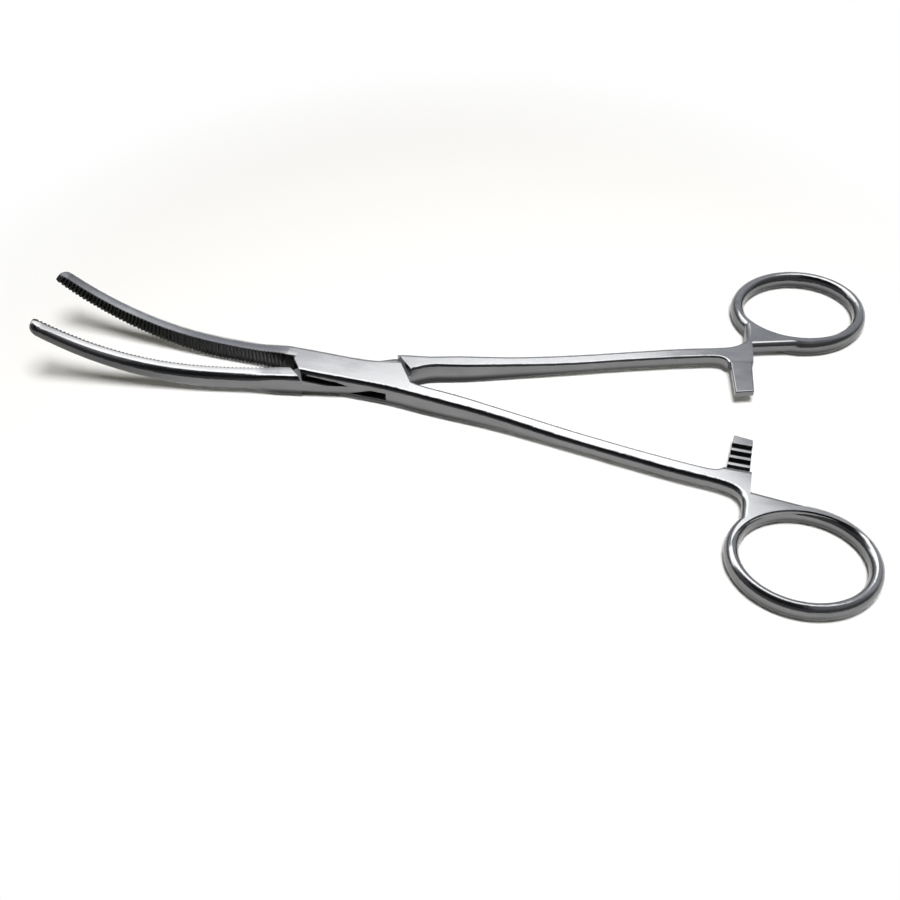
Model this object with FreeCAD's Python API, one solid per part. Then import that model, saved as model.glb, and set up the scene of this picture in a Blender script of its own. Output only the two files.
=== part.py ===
"""Haemostatic forceps: two half forgings crossed in a box lock and held by a riveted pivot pin.

Millimetres. The pivot axis is Z through the origin, Z = 0 is the plane the forceps lies on, +X runs to the
finger rings and the jaws curve up towards +Z. Each half is drawn closed, then turned about the pivot to the
opening of the photograph.
"""
import math
import os

import FreeCAD
import Part

# Whole forceps
half_opening = 6.1
lock_height = 6.2
handle_height = 4.45
edge_round = 1.3
box_inner_round = 0.8
male_inner_round = 0.56

# Box lock, drawn closed and seen from above
slot_bottom = 2.0
slot_top = 4.2
tongue_clearance = 0.05
wall_clearance = 0.15
shoulder_gap = 0.28
box_left = [(-15.3, 0.4), (-11.6, -4.45)]
box_right = [(13.9, -0.2), (9.9, 5.6)]
slot_wall_left = [(-15.3, 0.4), (-10.2, 4.2)]
slot_wall_right = [(13.9, -0.2), (9.6, -4.75)]
front_edge = [(3.0, -4.6), (12.0, -4.85)]
back_edge = [(4.0, 4.4), (-4.0, 4.15)]
flush_step = 0.05

# Pivot pin
pin_radius = 1.75
pin_running_clearance = 0.04

# Jaw
jaw_root_x = -17.0
jaw_tip_x = -74.6
jaw_root_gap = 0.38
crest_gap = 0.05
jaw_width_root = 3.9
jaw_width_tip = 3.2
bend_start_x = -31.0
bend_radius = 70.0
bend_centre_z = 3.4
jaw_height_neck = 4.5
jaw_height_tip = 2.6
neck_x = -25.0
taper_start_x = -38.0
jaw_back_round = 1.75
nose_length = 1.8
tooth_pitch = 0.96
tooth_depth = 0.38
tooth_crest = 0.12

# Shank, web and the edges they share with the lock, for the handle on the +Y side
shank_outer = [(18.0, 5.45), (23.0, 5.85), (36.0, 6.75), (48.0, 8.25), (60.0, 9.85), (72.0, 11.45), (84.0, 12.75)]
shank_inner = [(18.0, 1.45), (23.0, 1.85), (36.0, 3.1), (48.0, 4.5), (60.0, 6.15), (72.0, 7.7), (84.0, 8.95)]
web_outer = [(90.5, 13.35), (93.4, 14.3), (95.05, 16.1), (95.5, 18.8), (95.6, 22.4)]
web_inner = [(87.0, 9.1), (89.0, 8.75), (90.3, 7.4)]
web_far = (108.9, 14.75)
shank_top = 4.5
shank_bottom = 1.3
taper_from_x = 15.0
taper_to_x = 58.0
profile_end_x = 120.0

# Finger ring, an oval bar bent round, with a flat on its top where the web runs out on it
ring_left_x = 94.62
ring_low_y = 15.85
ring_long = 15.28
ring_short = 13.05
ring_tilt = 2.3
ring_width = 3.2
ring_centre = (ring_left_x + ring_long, ring_low_y + ring_short)
web_meets_ring_from = 205.0
web_meets_ring_to = 250.0
flat_outside = 0.3
flat_widest = 1.3
flat_slack = 0.6
flat_direction = 68.0
flat_bevel = 0.3
flat_depth = 1.6

# Ratchet
arm_level = 2.9
arm_gap = 0.1
arm_round = 0.35
arm_inset = 0.05
arm_corners = [(90.7, 9.4), (91.1, -3.1), (95.6, -2.5), (96.1, 9.4)]
arm_root = (96.35, 7.4)
arm_root_far = (96.7, 13.6)
arm_root_round = 1.6
low_arm_longer = 0.6
ratchet_pitch = 2.3
ratchet_count = 4
ratchet_first = -1.15
ratchet_depth = 0.7
ratchet_flat = 0.75


def vec(point, z=0.0):
    return FreeCAD.Vector(point[0], point[1], z)


def line(a, b, z=0.0):
    return Part.makeLine(vec(a, z), vec(b, z))


def curve(points, start=None, end=None):
    """Smooth curve through plan points, with its direction at both ends where it has to meet a straight."""
    spline = Part.BSplineCurve()
    places = [vec(p) for p in points]
    if start is None:
        spline.interpolate(places)
    else:
        spline.interpolate(Points=places, InitialTangent=vec(start), FinalTangent=vec(end))
    return spline.toShape()


def prism(edges, bottom, top):
    face = Part.Face(Part.Wire(Part.__sortEdges__(edges)))
    solid = face.extrude(FreeCAD.Vector(0, 0, top - bottom))
    solid.translate(FreeCAD.Vector(0, 0, bottom))
    return solid


def polygon_prism(points, bottom, top):
    edges = [line(a, b) for a, b in zip(points, points[1:] + points[:1])]
    return prism(edges, bottom, top)


def shifted(pair, distance):
    """The line through two points, moved to its left by the distance."""
    (ax, ay), (bx, by) = pair
    length = math.hypot(bx - ax, by - ay)
    nx = -(by - ay) / length
    ny = (bx - ax) / length
    return [(ax + nx * distance, ay + ny * distance), (bx + nx * distance, by + ny * distance)]


def beyond(start, end, distance):
    """The point that lies past the end of a line by the distance."""
    length = math.hypot(end[0] - start[0], end[1] - start[1])
    grow = distance / length
    return (end[0] + (end[0] - start[0]) * grow, end[1] + (end[1] - start[1]) * grow)


def round_long_edges(solid, radius, curves):
    """Rounds the top and bottom edges that lie above or below the given plan curves."""
    chosen = []
    for edge in solid.Edges:
        if edge.BoundBox.ZLength > 0.5 * edge.Length:
            continue
        middle = edge.valueAt((edge.FirstParameter + edge.LastParameter) / 2)
        middle = FreeCAD.Vector(middle.x, middle.y, 0)
        if any(c.distToShape(Part.Vertex(middle))[0] < 1e-4 for c in curves):
            chosen.append(edge)
    return solid.makeFillet(radius, chosen)


def side_profile():
    """Height of lock, shank and web seen from the side: full at the lock, lower from the shank on."""
    def bend(z_from, z_to):
        spline = Part.BSplineCurve()
        flat = FreeCAD.Vector(1, 0, 0)
        places = [FreeCAD.Vector(taper_from_x, -20, z_from), FreeCAD.Vector(taper_to_x, -20, z_to)]
        spline.interpolate(Points=places, InitialTangent=flat * 40, FinalTangent=flat * 40)
        return spline.toShape()

    def straight(a, b):
        return Part.makeLine(FreeCAD.Vector(a[0], -20, a[1]), FreeCAD.Vector(b[0], -20, b[1]))
    edges = [
        bend(lock_height, shank_top),
        bend(0.0, shank_bottom),
        straight((jaw_root_x, 0.0), (taper_from_x, 0.0)),
        straight((jaw_root_x, 0.0), (jaw_root_x, lock_height)),
        straight((jaw_root_x, lock_height), (taper_from_x, lock_height)),
        straight((taper_to_x, shank_top), (profile_end_x, shank_top)),
        straight((profile_end_x, shank_top), (profile_end_x, shank_bottom)),
        straight((profile_end_x, shank_bottom), (taper_to_x, shank_bottom)),
    ]
    face = Part.Face(Part.Wire(Part.__sortEdges__(edges)))
    return face.extrude(FreeCAD.Vector(0, 60, 0))


def jaw_outline(place, reach, half, round_radius):
    """One closed cross section of the jaw: sharp at the biting face, rounded at the back."""
    inset = round_radius * (1 - math.sqrt(0.5))
    low = Part.Arc(
        place(reach - round_radius, -half),
        place(reach - inset, -half + inset),
        place(reach, -half + round_radius),
    )
    high = Part.Arc(
        place(reach, half - round_radius),
        place(reach - inset, half - inset),
        place(reach - round_radius, half),
    )
    return Part.Wire([
        Part.makeLine(place(0, -half), place(reach - round_radius, -half)),
        low.toShape(),
        Part.makeLine(place(reach, -half + round_radius), place(reach, half - round_radius)),
        high.toShape(),
        Part.makeLine(place(reach - round_radius, half), place(0, half)),
        Part.makeLine(place(0, half), place(0, -half)),
    ])


def bite_y(x):
    """Inner face of the jaw drawn on the -Y side, closed: it meets the other jaw only at the tip."""
    share = (x - jaw_tip_x) / (jaw_root_x - jaw_tip_x)
    return -crest_gap - (jaw_root_gap - crest_gap) * share


def jaw_section(x, height_share=1.0, width_share=1.0):
    """Cross section of the jaw, square to its mid-line, at a station along X."""
    run = max(0.0, bend_start_x - x)
    slope = math.asin(run / bend_radius)
    z = bend_centre_z + bend_radius * (1 - math.cos(slope))
    first = math.asin((bend_start_x - taper_start_x) / bend_radius)
    last = math.asin((bend_start_x - jaw_tip_x) / bend_radius)
    thin = min(1.0, max(0.0, (slope - first) / (last - first)))
    neck = min(1.0, (jaw_root_x - x) / (jaw_root_x - neck_x))
    blend = math.sin(neck * math.pi / 2) ** 2
    z += (lock_height / 2 - bend_centre_z) * (1 - blend)
    height = lock_height + (jaw_height_neck - lock_height) * blend
    height = (height + (jaw_height_tip - jaw_height_neck) * thin) * height_share
    share = (jaw_root_x - x) / (jaw_root_x - jaw_tip_x)
    reach = (jaw_width_root + (jaw_width_tip - jaw_width_root) * share) * width_share
    back_round = edge_round + (jaw_back_round - edge_round) * neck
    back_round = min(back_round, height * 0.42, reach * 0.48)

    def place(u, v):
        px = x + v * math.sin(slope)
        return FreeCAD.Vector(px, bite_y(px) - u, z + v * math.cos(slope))
    return jaw_outline(place, reach, height / 2, back_round)


def jaw():
    """Jaw on the -Y side: flat toothed face inside, rounded back outside, curving up towards the tip."""
    nose_x = jaw_tip_x + nose_length
    stations = [jaw_root_x, -19.0, -21.0, -23.0, neck_x, bend_start_x, -38.0, -45.0, -52.0, -59.0, -66.0, nose_x]
    body = Part.makeLoft([jaw_section(x) for x in stations], True)
    nose = []
    for step in range(5):
        turn = math.radians(step * 19.0)
        shrink = math.cos(turn)
        nose.append(jaw_section(nose_x - nose_length * math.sin(turn), 0.35 + 0.65 * shrink, 0.25 + 0.75 * shrink))
    solid = body.fuse(Part.makeLoft(nose, True))
    return solid.cut(Part.makeCompound(tooth_grooves()))


def tooth_grooves():
    """Grooves across the biting face, square to the jaw's mid-line and evenly spaced along it."""
    grooves = []
    along = tooth_pitch
    straight = jaw_root_x - bend_start_x
    total = straight + bend_radius * math.asin((bend_start_x - jaw_tip_x) / bend_radius)
    half = (tooth_pitch - tooth_crest) / 2
    while along < total - tooth_pitch:
        slope = max(0.0, (along - straight) / bend_radius)
        x = jaw_root_x - along
        if slope > 0:
            x = bend_start_x - bend_radius * math.sin(slope)
        z = bend_centre_z + bend_radius * (1 - math.cos(slope))
        y = bite_y(x)
        wide = half * (1 + 0.2 / tooth_depth)
        profile = Part.makePolygon([
            FreeCAD.Vector(-wide, 0.2, -4),
            FreeCAD.Vector(wide, 0.2, -4),
            FreeCAD.Vector(0, -tooth_depth, -4),
            FreeCAD.Vector(-wide, 0.2, -4),
        ])
        groove = Part.Face(profile).extrude(FreeCAD.Vector(0, 0, 8))
        groove.rotate(FreeCAD.Vector(), FreeCAD.Vector(0, 1, 0), math.degrees(slope))
        groove.translate(FreeCAD.Vector(x, y, z))
        grooves.append(groove)
        along += tooth_pitch
    return grooves


def ellipse_edge(long_radius, short_radius, start=None, end=None, centre=ring_centre):
    middle = vec(centre)
    along = FreeCAD.Vector(math.cos(math.radians(ring_tilt)), math.sin(math.radians(ring_tilt)), 0)
    across = FreeCAD.Vector(-along.y, along.x, 0)
    shape = Part.Ellipse(middle + along * long_radius, middle + across * short_radius, middle)
    if start is None:
        return shape.toShape()
    return shape.toShape(math.radians(start), math.radians(end))


def ring():
    """Finger ring on the +Y side: an oval section, taller than wide, led round the ring's mid-line."""
    middle = ellipse_edge(ring_long, ring_short)
    start = middle.valueAt(middle.FirstParameter)
    outward = (start - vec(ring_centre)).normalize()
    tall = FreeCAD.Vector(0, 0, handle_height / 2)
    section = Part.Ellipse(start + tall, start + outward * (ring_width / 2), start)
    bar = Part.Wire([middle]).makePipe(Part.Face(Part.Wire([section.toShape()])))
    bar.translate(tall)
    return bar


def ring_flat():
    """Crescent on the ring's top where the web runs out: widest towards the web, with a bevelled inner edge."""
    shift = flat_widest + flat_slack
    turn = math.radians(flat_direction)
    centre = (ring_centre[0] + shift * math.cos(turn), ring_centre[1] + shift * math.sin(turn))

    def outline(grow, level):
        edge = ellipse_edge(ring_long + flat_slack + grow, ring_short + flat_slack + grow, centre=centre)
        wire = Part.Wire([edge])
        wire.translate(FreeCAD.Vector(0, 0, level))
        return wire
    low = shank_top - flat_depth
    outside = Part.Face(Part.Wire([ellipse_edge(ring_long + flat_outside, ring_short + flat_outside)]))
    flat = outside.extrude(FreeCAD.Vector(0, 0, flat_depth))
    flat.translate(FreeCAD.Vector(0, 0, low))
    hole = Part.Face(outline(0, low - 1)).extrude(FreeCAD.Vector(0, 0, flat_depth + 2))
    bevel = Part.makeLoft([outline(0, shank_top - flat_bevel), outline(2 * flat_bevel, shank_top + flat_bevel)], True)
    return flat.cut(hole).cut(bevel)


def handle_edges(outer_start, outer_direction, inner_start):
    """Plan outline of shank and web: its outer, inner and front edge, and the straight and curved rest."""
    inside_ring = ellipse_edge(ring_long, ring_short, web_meets_ring_from, web_meets_ring_to)
    ring_side = inside_ring.valueAt(inside_ring.FirstParameter)
    ring_low = inside_ring.valueAt(inside_ring.LastParameter)
    outer = curve(outer_start + shank_outer + web_outer, outer_direction, (0.0, 1.0))
    inner = curve(inner_start + shank_inner + web_inner)
    front = line(web_far, arm_root_far)
    rest = [
        line(web_outer[-1], (ring_side.x, ring_side.y)),
        inside_ring,
        line((ring_low.x, ring_low.y), web_far),
        line(arm_root_far, arm_root),
        line(arm_root, web_inner[-1]),
    ]
    return outer, inner, front, rest


def arm_shoulder(face, away):
    """Cutter that rounds the end of the web over the ratchet arm, on the face that carries no arm."""
    end_y = arm_root[1]
    left = arm_corners[0][0] - 1.2
    width = arm_root[0] + 0.2 - left
    block = Part.makeBox(width, arm_root_round + 3, arm_root_round + 1, FreeCAD.Vector(left, end_y - 3, -1))
    middle = FreeCAD.Vector(left, end_y + arm_root_round, -arm_root_round)
    block.translate(FreeCAD.Vector(0, 0, 1 - arm_root_round))
    roll = Part.makeCylinder(arm_root_round, width, middle, FreeCAD.Vector(1, 0, 0))
    cutter = block.cut(roll)
    if away < 0:
        cutter = cutter.mirror(FreeCAD.Vector(), FreeCAD.Vector(0, 0, 1))
    cutter.translate(FreeCAD.Vector(0, 0, face))
    return cutter


def arm(bottom, top, teeth_up, longer=0.0):
    """Ratchet arm drawn as the one of the +Y handle, with its teeth on the upper or the lower face."""
    corners = [(x, y - longer if y < 0 else y) for x, y in arm_corners]
    solid = polygon_prism(corners, bottom, top)
    plain = bottom if teeth_up else top
    chosen = []
    for edge in solid.Edges:
        box = edge.BoundBox
        on_plain = box.ZLength < 1e-6 and abs(box.ZMin - plain) < 1e-6 and box.YMin < 5
        upright = box.ZLength > 1 and box.YMax < 0
        if on_plain or upright:
            chosen.append(edge)
    solid = solid.makeFillet(arm_round, chosen)
    face = top if teeth_up else bottom
    down = -1 if teeth_up else 1
    cuts = []
    for index in range(ratchet_count):
        y = ratchet_first + index * ratchet_pitch
        mouth = ratchet_pitch - ratchet_flat
        profile = Part.makePolygon([
            FreeCAD.Vector(85, y, face),
            FreeCAD.Vector(85, y + 0.2 * mouth, face + down * ratchet_depth),
            FreeCAD.Vector(85, y + mouth, face),
            FreeCAD.Vector(85, y + mouth, face - down),
            FreeCAD.Vector(85, y, face - down),
            FreeCAD.Vector(85, y, face),
        ])
        cuts.append(Part.Face(profile).extrude(FreeCAD.Vector(20, 0, 0)))
    return solid.cut(Part.makeCompound(cuts))


def mirrored(solid):
    return solid.mirror(FreeCAD.Vector(), FreeCAD.Vector(0, 1, 0))


def bore(radius):
    return Part.makeCylinder(radius, lock_height + 2, FreeCAD.Vector(0, 0, -1))


def box_block():
    """Drawn with its handle on the +Y side: box, jaw root (-Y side), shank and web in one outline."""
    outer_y = bite_y(jaw_root_x) - jaw_width_root
    root_end = (jaw_root_x + 1.5, outer_y)
    left = [(x, -y) for x, y in box_left]
    right = [(x, -y) for x, y in box_right]
    front_start = [left[1]] + [(x, -y) for x, y in front_edge]
    outer, inner, front, rest = handle_edges(front_start, (1.0, 0.02), [right[0], (15.6, 0.95)])
    back = curve([right[1]] + [(x, -y) for x, y in back_edge] + [root_end], (-1.0, 0.2), (-1.0, 0.0))
    root = line(root_end, (jaw_root_x, outer_y))
    edges = rest + [
        outer,
        inner,
        front,
        back,
        root,
        line(right[0], right[1]),
        line((jaw_root_x, outer_y), (jaw_root_x, bite_y(jaw_root_x))),
        line((jaw_root_x, bite_y(jaw_root_x)), left[0]),
        line(left[0], left[1]),
    ]
    block = prism(edges, -1.0, lock_height + 1).common(side_profile())
    block = round_long_edges(block, edge_round, [outer, back, root])
    block = round_long_edges(block, box_inner_round, [inner])
    block = round_long_edges(block, edge_round, [front]).cut(arm_shoulder(shank_top, 1))
    slot = polygon_prism([
        slot_wall_left[0],
        beyond(slot_wall_left[0], slot_wall_left[1], 6),
        (20.0, 9.0),
        (20.0, box_right[0][1]),
        slot_wall_right[0],
        beyond(slot_wall_right[0], slot_wall_right[1], 6),
        (-20.0, -9.0),
    ], slot_bottom, slot_top)
    return block.cut(mirrored(slot))


def tongue_block():
    """Tongue through the box, jaw root (-Y side), shank and web (+Y side) in one outline."""
    left_wall = shifted(slot_wall_left, -wall_clearance)
    right_wall = shifted(slot_wall_right, -wall_clearance)
    outer_y = bite_y(jaw_root_x) - jaw_width_root
    root_end = (jaw_root_x + 1.5, outer_y)
    back_start = [left_wall[1]] + [(x, y - flush_step) for x, y in reversed(back_edge)]
    back_start.append((box_right[1][0], box_right[1][1] - flush_step))
    outer, inner, front, rest = handle_edges(back_start, (1.0, -0.05), [right_wall[0], (16.0, 0.85)])
    near = curve(
        [right_wall[1], (front_edge[0][0], front_edge[0][1] + flush_step)]
        + [(box_left[1][0], box_left[1][1] + flush_step), root_end],
        (-1.0, 0.03),
        (-1.0, 0.0),
    )
    root = line(root_end, (jaw_root_x, outer_y))
    edges = rest + [
        outer,
        inner,
        front,
        near,
        root,
        line(right_wall[0], right_wall[1]),
        line((jaw_root_x, outer_y), (jaw_root_x, bite_y(jaw_root_x))),
        line((jaw_root_x, bite_y(jaw_root_x)), (-15.8, bite_y(jaw_root_x))),
        line((-15.8, bite_y(jaw_root_x)), left_wall[0]),
        line(left_wall[0], left_wall[1]),
    ]
    block = prism(edges, -1.0, lock_height + 1).common(side_profile())
    block = round_long_edges(block, edge_round, [outer, near, root])
    block = round_long_edges(block, male_inner_round, [inner])
    block = round_long_edges(block, edge_round, [front]).cut(arm_shoulder(shank_bottom, -1))
    left = shifted(box_left, -shoulder_gap)
    right = shifted(box_right, -shoulder_gap)
    zone = [
        beyond(left[1], left[0], 12),
        beyond(left[0], left[1], 12),
        beyond(right[1], right[0], 12),
        beyond(right[0], right[1], 12),
    ]
    above = polygon_prism(zone, slot_top - tongue_clearance, lock_height + 1)
    below = polygon_prism(zone, -1.0, slot_bottom + tongue_clearance)
    return block.cut(above).cut(below)


def turned(solid, degrees):
    solid.rotate(FreeCAD.Vector(), FreeCAD.Vector(0, 0, 1), degrees)
    return solid


def box_half():
    low_arm = arm(shank_bottom + arm_inset, arm_level - arm_gap / 2, True, low_arm_longer)
    solid = box_block().fuse([jaw(), ring(), ring_flat(), low_arm]).cut(bore(pin_radius))
    return turned(mirrored(solid), -half_opening)


def male_half():
    high_arm = arm(arm_level + arm_gap / 2, shank_top - arm_inset, False)
    solid = tongue_block().fuse([jaw(), ring(), ring_flat(), high_arm]).cut(bore(pin_radius + pin_running_clearance))
    return turned(solid, half_opening)


def pivot_pin():
    return Part.makeCylinder(pin_radius, lock_height)


def write(name, shape):
    if len(shape.Solids) != 1 or not shape.isValid():
        raise ValueError(f"{name}: {len(shape.Solids)} solids, valid {shape.isValid()}")
    shape.Solids[0].exportStep(f"parts/{name}.step")
    print(name, round(shape.Volume, 1), shape.BoundBox)


os.makedirs("parts", exist_ok=True)
write("box_half", box_half())
write("male_half", male_half())
write("pivot_pin", pivot_pin())
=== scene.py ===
"""Haemostatic forceps lying on a white table, under one soft lamp, seen from the front right and above."""
import math

import bpy
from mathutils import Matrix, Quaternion, Vector

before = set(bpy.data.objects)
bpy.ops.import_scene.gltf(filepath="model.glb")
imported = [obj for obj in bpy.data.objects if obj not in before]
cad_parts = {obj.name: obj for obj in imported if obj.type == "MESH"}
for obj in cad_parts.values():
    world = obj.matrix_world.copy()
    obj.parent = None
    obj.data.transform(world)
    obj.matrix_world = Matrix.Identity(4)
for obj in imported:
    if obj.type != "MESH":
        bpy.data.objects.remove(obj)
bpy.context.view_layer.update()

# Camera
# The place, aim and roll follow the photograph, with the forceps' pivot at the origin. The lens axis lies a
# little right of the picture's middle, as in a square cut from a wider picture.
camera_place = Vector((0.06544, -0.21813, 0.21823))
camera_aim = Vector((0.03349, -0.01592, 0.0))
camera_roll = math.radians(-0.443)
camera_lens = 51.65
film_width = 36
camera_shift = (-0.0345, -0.0022)
nearest_seen = 0.01
farthest_seen = 20

camera_data = bpy.data.cameras.new("camera")
camera = bpy.data.objects.new("camera", camera_data)
bpy.context.scene.collection.objects.link(camera)
camera.location = camera_place
camera.rotation_mode = "QUATERNION"
camera_turn = (camera_aim - camera_place).to_track_quat("-Z", "Y")
camera.rotation_quaternion = camera_turn @ Quaternion((0, 0, 1), camera_roll)
camera_data.sensor_width = film_width
camera_data.lens = camera_lens
camera_data.shift_x, camera_data.shift_y = camera_shift
camera_data.clip_start = nearest_seen
camera_data.clip_end = farthest_seen
bpy.context.scene.camera = camera
bpy.context.scene.view_settings.view_transform = "Standard"

# Table
# A plain white sheet of card that the forceps lies on. It keeps the shadow near the forceps. Farther off it
# is pure white, straight to the camera and where the steel mirrors it.
table_half_width = 3.0
table_drop = 0.00005
table_white = (0.86, 0.855, 0.85, 1)
pure_white = (1, 1, 1, 1)
white_middle = (0.025, 0.0, 0.0)
white_from = 0.098
white_full = 0.155


class Socket:
    """A shader value that takes part in sums: an expression on it adds the Math nodes."""

    def __init__(self, tree, link):
        self.tree = tree
        self.link = link

    def math(self, operation, *values):
        return add_node(self.tree, "ShaderNodeMath", {"operation": operation}, dict(enumerate(values)))

    def __add__(self, other):
        return self.math("ADD", self, other)

    def __radd__(self, other):
        return self.math("ADD", other, self)

    def __sub__(self, other):
        return self.math("SUBTRACT", self, other)

    def __rsub__(self, other):
        return self.math("SUBTRACT", other, self)

    def __mul__(self, other):
        return self.math("MULTIPLY", self, other)

    def __rmul__(self, other):
        return self.math("MULTIPLY", other, self)

    def __abs__(self):
        return self.math("ABSOLUTE", self)

    def larger(self, other):
        return self.math("MAXIMUM", self, other)

    def step(self, low, high):
        """Rises smoothly from 0 to 1 as the value goes from low to high."""
        inputs = {"Value": self, "From Min": low, "From Max": high}
        return add_node(self.tree, "ShaderNodeMapRange", {"interpolation_type": "SMOOTHSTEP"}, inputs)


def add_node(tree, kind, settings, inputs, output=0):
    """Adds a node, sets it up, feeds its sockets with values or links, and gives back one output."""
    node = tree.nodes.new(kind)
    for name, value in settings.items():
        setattr(node, name, value)
    for key, value in inputs.items():
        if isinstance(value, Socket):
            tree.links.new(value.link, node.inputs[key])
        else:
            node.inputs[key].default_value = value
    return Socket(tree, node.outputs[output])


def empty_material(name):
    """A new material with no nodes yet, and its node tree."""
    material = bpy.data.materials.new(name)
    material.use_nodes = True
    material.node_tree.nodes.clear()
    return material, material.node_tree


def show_on_surface(tree, look):
    """Joins the finished look to the material's output."""
    out = tree.nodes.new("ShaderNodeOutputMaterial")
    tree.links.new(look.link, out.inputs["Surface"])


def background_rays(tree):
    """1 for the rays that show the background: straight to the camera, mirrored, or through glass."""
    straight, mirrored, through = (
        add_node(tree, "ShaderNodeLightPath", {}, {}, kind)
        for kind in ("Is Camera Ray", "Is Glossy Ray", "Is Transmission Ray")
    )
    return straight.larger(mirrored).larger(through)


bpy.ops.object.select_all(action="DESELECT")
bpy.ops.mesh.primitive_plane_add(size=2 * table_half_width, location=(0, 0, -table_drop))
table = bpy.context.object
table.name = "table"
table_material, tree = empty_material("white_card")
card = add_node(tree, "ShaderNodeBsdfDiffuse", {}, {"Color": table_white})
white = add_node(tree, "ShaderNodeEmission", {}, {"Color": pure_white, "Strength": 1.0})
spot = add_node(tree, "ShaderNodeTexCoord", {}, {}, "Object")
apart = add_node(tree, "ShaderNodeVectorMath", {"operation": "DISTANCE"}, {0: spot, 1: white_middle}, "Value")
white_share = background_rays(tree) * apart.step(white_from, white_full)
show_on_surface(tree, add_node(tree, "ShaderNodeMixShader", {}, {0: white_share, 1: card, 2: white}))
table.data.materials.append(table_material)

# Light
# A small soft lamp hangs over the forceps, a little to the right of the camera, and throws the short dark
# shadow under it. A white screen lies overhead, a grey ceiling and wall go on beyond it, and the room
# behind the camera is black above and dim below and beside: the steel mirrors all of them.
lamp_place = (0.105, -0.164, 0.60)
lamp_aim = (0.03, 0.0, 0.0)
lamp_size = 0.25
lamp_watts = 5.0
fill_colour = (0.105, 0.10, 0.078, 1)

lamp_data = bpy.data.lights.new("soft_lamp", "AREA")
lamp_data.shape = "DISK"
lamp_data.size = lamp_size
lamp_data.energy = lamp_watts
lamp = bpy.data.objects.new("soft_lamp", lamp_data)
lamp.location = lamp_place
lamp.rotation_euler = (Vector(lamp_aim) - Vector(lamp_place)).to_track_quat("-Z", "Y").to_euler()
lamp.visible_glossy = False
bpy.context.scene.collection.objects.link(lamp)

world = bpy.data.worlds.new("studio")
world.use_nodes = True
bpy.context.scene.world = world
tree = world.node_tree
tree.nodes.clear()
inputs = {"Factor": background_rays(tree), "A": fill_colour, "B": pure_white}
surround = add_node(tree, "ShaderNodeMix", {"data_type": "RGBA"}, inputs, "Result")
background = add_node(tree, "ShaderNodeBackground", {}, {"Color": surround, "Strength": 1.0})
world_out = tree.nodes.new("ShaderNodeOutputWorld")
tree.links.new(background.link, world_out.inputs["Surface"])


def glowing(name, tone, other_tone=None, share=None):
    """A card's own glow, in one tone, or in two, where share(x, y, z) says how much of the other shows."""
    material, tree = empty_material(name)
    colour = (*tone, 1)
    if share:
        spot = add_node(tree, "ShaderNodeTexCoord", {}, {}, "Object")
        x, y, z = (add_node(tree, "ShaderNodeSeparateXYZ", {}, {"Vector": spot}, axis) for axis in "XYZ")
        inputs = {"Factor": share(x, y, z), "A": colour, "B": (*other_tone, 1)}
        colour = add_node(tree, "ShaderNodeMix", {"data_type": "RGBA"}, inputs, "Result")
    show_on_surface(tree, add_node(tree, "ShaderNodeEmission", {}, {"Color": colour, "Strength": 1.0}))
    return material


def only_reflected(card):
    """Keeps a card out of the picture and of the light, so that it shows in the steel alone."""
    card.visible_camera = False
    card.visible_diffuse = False
    card.visible_shadow = False
    card.visible_transmission = False
    card.visible_volume_scatter = False


# The screen ends at a slant: its far edge goes back to the right, and its right edge comes in to the back.
screen_white = (2.0, 2.0, 2.0)
screen_near = 0.055
screen_far = 0.333
far_slant = 0.308
screen_right = 0.255
right_slant = 0.5
screen_fade = 0.013
ceiling_grey = (0.33, 0.34, 0.37)
ceiling_height = 0.30
ceiling_size = 2.0


def screen_share(x, y, z):
    beyond = (y - far_slant * x).step(screen_far - screen_fade, screen_far + screen_fade)
    beside = (x + right_slant * y).step(screen_right - screen_fade, screen_right + screen_fade)
    return (1 - beyond) * (1 - beside)


bpy.ops.object.select_all(action="DESELECT")
bpy.ops.mesh.primitive_plane_add(
    size=ceiling_size, location=(0, screen_near + ceiling_size / 2, ceiling_height)
)
bpy.ops.object.transform_apply(location=True, rotation=False, scale=False)
ceiling = bpy.context.object
ceiling.name = "screen_and_ceiling"
ceiling.data.materials.append(glowing("screen_and_ceiling", ceiling_grey, screen_white, screen_share))
only_reflected(ceiling)

# The room is a half ball above the table, cut upright into a near part and a far wall.
room_radius = 1.4
room_split = 0.12
room_floor = 0.01
room_black = (0.012, 0.012, 0.013)
room_dim = (0.17, 0.17, 0.18)
wall_grey = (0.30, 0.31, 0.33)
dim_below = (0.50, 0.95)
dim_right = (0.15, 0.45)
dim_left = (0.85, 1.10)


def dim_share(x, y, z):
    below = 1 - z.step(*dim_below)
    return below.larger(x.step(*dim_right)).larger((0 - x).step(*dim_left))


for name, glow, far_side in (
    ("dark_room_near", glowing("dark_room_near", room_black, room_dim, dim_share), False),
    ("grey_wall_far", glowing("grey_wall_far", wall_grey), True),
):
    bpy.ops.object.select_all(action="DESELECT")
    bpy.ops.mesh.primitive_uv_sphere_add(segments=48, ring_count=24, radius=room_radius, location=(0, 0, 0))
    shell = bpy.context.object
    shell.name = name
    bpy.ops.object.mode_set(mode="EDIT")
    bpy.ops.mesh.select_all(action="SELECT")
    bpy.ops.mesh.bisect(plane_co=(0, 0, room_floor), plane_no=(0, 0, 1), clear_inner=True)
    bpy.ops.mesh.select_all(action="SELECT")
    bpy.ops.mesh.bisect(
        plane_co=(0, room_split, 0), plane_no=(0, 1, 0), clear_outer=not far_side, clear_inner=far_side
    )
    bpy.ops.object.mode_set(mode="OBJECT")
    shell.data.materials.append(glow)
    only_reflected(shell)

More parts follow.
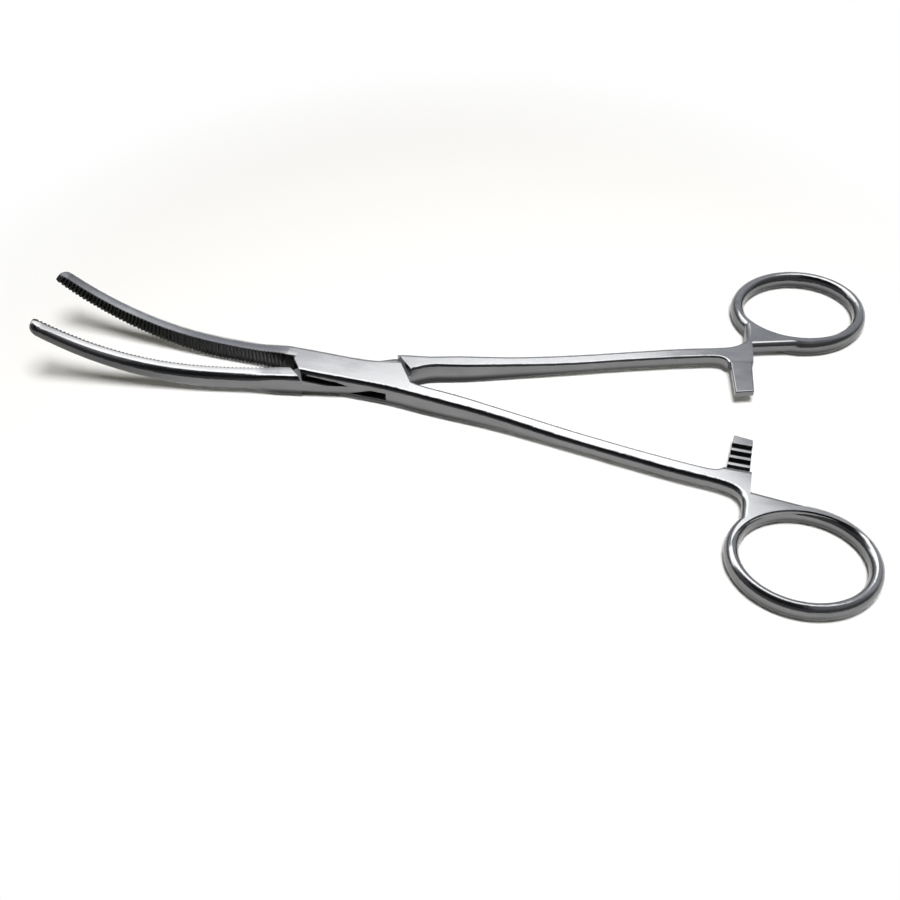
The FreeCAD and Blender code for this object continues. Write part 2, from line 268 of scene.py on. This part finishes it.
# Halves and rivet
# Both halves and the rivet are forged stainless steel. The flat tops are ground and polished to a bright
# satin. The rounded sides are darker by painted shade, and the cut teeth of the jaws are dull and darker by
# painted shade.
opened = math.radians(6.1)
steel_colour = (0.56, 0.565, 0.575)
steel_roughness = 0.17

# How much of the steel's brightness is left on each part of it. Each share is painted shade: on the sides,
# on their foot near the table, on the low flats inside the lock, on the teeth and on the jaws' sides near the
# tips.
painted_side_share = 0.34
painted_foot_share = 0.20
painted_ledge_share = 0.30
painted_teeth_share = 0.10
painted_tip_side_share = 0.50

# Where each zone begins and where it is full, in metres from the pivot, the table or the middle line of the
# half. A flat is a surface that faces up or down by more than flat_edge.
flat_edge = (0.62, 0.93)
foot_edge = (0.0015, 0.0029)
lock_end = (0.0205, 0.0215)
ledge_foot = (0.0006, 0.0009)
ledge_top = (0.0047, 0.0051)
jaw_root = (-0.0148, -0.0144)
teeth_edge = (0.00040, 0.00085)
strip_edge = (0.0006, 0.0022)
tip_edge = (-0.058, -0.034)
crown_edge = (-0.030, -0.0165)

# Fine marks along the half, soft clouds of polish and small dark specks. The jaws' tops mirror the room as
# if they sloped a little away from the teeth, by jaw_crown.
mark_scale = (900, 16000, 9000)
mark_depth = 0.000002
mark_roughness = 0.06
cloud_scale = (110, 260, 260)
cloud_shade = 0.40
cloud_roughness = 0.14
speck_scale = (5200, 5200, 5200)
speck_edge = (0.60, 0.72)
speck_shade = 0.12
between_specks = 1.01
teeth_roughness = 0.2
jaw_crown = 0.13


def polished_steel(name, half_turn, tone, jaw_side, painted_strip_share):
    """Steel of one piece. jaw_side is the side of the half's own mid-line that its jaw lies on, or 0."""
    material, tree = empty_material(name)
    place = add_node(tree, "ShaderNodeTexCoord", {}, {}, "Object")
    facing = add_node(tree, "ShaderNodeTexCoord", {}, {}, "Normal")
    inputs = {"Vector": place, "Rotation": (0, 0, -half_turn)}
    along = add_node(tree, "ShaderNodeMapping", {"vector_type": "POINT"}, inputs)
    upward = abs(add_node(tree, "ShaderNodeSeparateXYZ", {}, {"Vector": facing}, "Z"))
    height = add_node(tree, "ShaderNodeSeparateXYZ", {}, {"Vector": place}, "Z")
    forward = add_node(tree, "ShaderNodeSeparateXYZ", {}, {"Vector": along}, "X")

    def noise(scale, detail):
        stretched = add_node(tree, "ShaderNodeVectorMath", {"operation": "MULTIPLY"}, {0: along, 1: scale})
        return add_node(tree, "ShaderNodeTexNoise", {}, {"Vector": stretched, "Scale": 1.0, "Detail": detail})

    marks = noise(mark_scale, 3.0)
    clouds = noise(cloud_scale, 3.0)
    specks = noise(speck_scale, 2.0)
    # Painted shade: all that is not a flat, that is the sides, is darker than the tops.
    flat = upward.step(*flat_edge)
    # Painted shade: the sides grow darker towards their foot near the table.
    foot_painted_shade = painted_foot_share + (1 - painted_foot_share) * height.step(*foot_edge)
    # Painted shade on the low flats inside the lock, below its top.
    in_lock = 1 - abs(forward).step(*lock_end)
    ledge = in_lock * height.step(*ledge_foot) * (1 - height.step(*ledge_top))
    # The painted shade and highlight of the zones, times the steel's own uneven tone from clouds and specks.
    painted_light_and_mottle = painted_side_share * foot_painted_shade * (1 - flat) + flat * (1 - (1 - painted_ledge_share) * ledge)
    painted_light_and_mottle = painted_light_and_mottle * (1 - cloud_shade / 2 + cloud_shade * clouds)
    painted_light_and_mottle = painted_light_and_mottle * (between_specks - speck_shade * specks.step(*speck_edge))
    rough = steel_roughness + (marks - 0.5) * mark_roughness + (clouds - 0.5) * cloud_roughness
    relief = mark_depth * marks
    if jaw_side:
        across = add_node(tree, "ShaderNodeSeparateXYZ", {}, {"Vector": along}, "Y") * jaw_side
        on_jaw = 1 - forward.step(*jaw_root)
        # Painted shade on the teeth, which are also rougher.
        teeth = (1 - across.step(*teeth_edge)) * on_jaw
        # Beside the teeth: a painted highlight where the share is above 1, painted shade where it is below 1.
        strip = (1 - across.step(*strip_edge)) * on_jaw
        # Painted shade on the jaw's sides towards its tip.
        tip_side = (1 - flat) * (1 - forward.step(*tip_edge))
        painted_light_and_mottle = painted_light_and_mottle * (1 - (1 - painted_teeth_share) * teeth) * (1 - (1 - painted_strip_share) * strip)
        painted_light_and_mottle = painted_light_and_mottle * (1 - (1 - painted_tip_side_share) * tip_side)
        rough = rough + teeth_roughness * teeth
        relief = relief - jaw_crown * across * (1 - forward.step(*crown_edge))
    toned_steel = tuple(part * tone for part in steel_colour)
    colour = add_node(
        tree, "ShaderNodeVectorMath", {"operation": "SCALE"}, {0: toned_steel, "Scale": painted_light_and_mottle}, "Vector"
    )
    bump = add_node(tree, "ShaderNodeBump", {}, {"Height": relief, "Strength": 1.0, "Distance": 1.0})
    inputs = {"Base Color": colour, "Metallic": 1.0, "Roughness": rough, "Normal": bump}
    show_on_surface(tree, add_node(tree, "ShaderNodeBsdfPrincipled", {}, inputs))
    return material


# Each piece's turn from the middle line, its tone, the side of its jaw, and the brightness beside its teeth:
# above 1 a painted highlight, below 1 painted shade.
for node, half_turn, tone, jaw_side, painted_strip_share in (
    ("box_half", -opened, 1.0, 1, 1.35),
    ("male_half", opened, 1.0, -1, 0.64),
    ("pivot_pin", -opened, 0.96, 0, 1.0),
):
    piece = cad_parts[node]
    piece.data.materials.clear()
    piece.data.materials.append(polished_steel(node + "_steel", half_turn, tone, jaw_side, painted_strip_share))
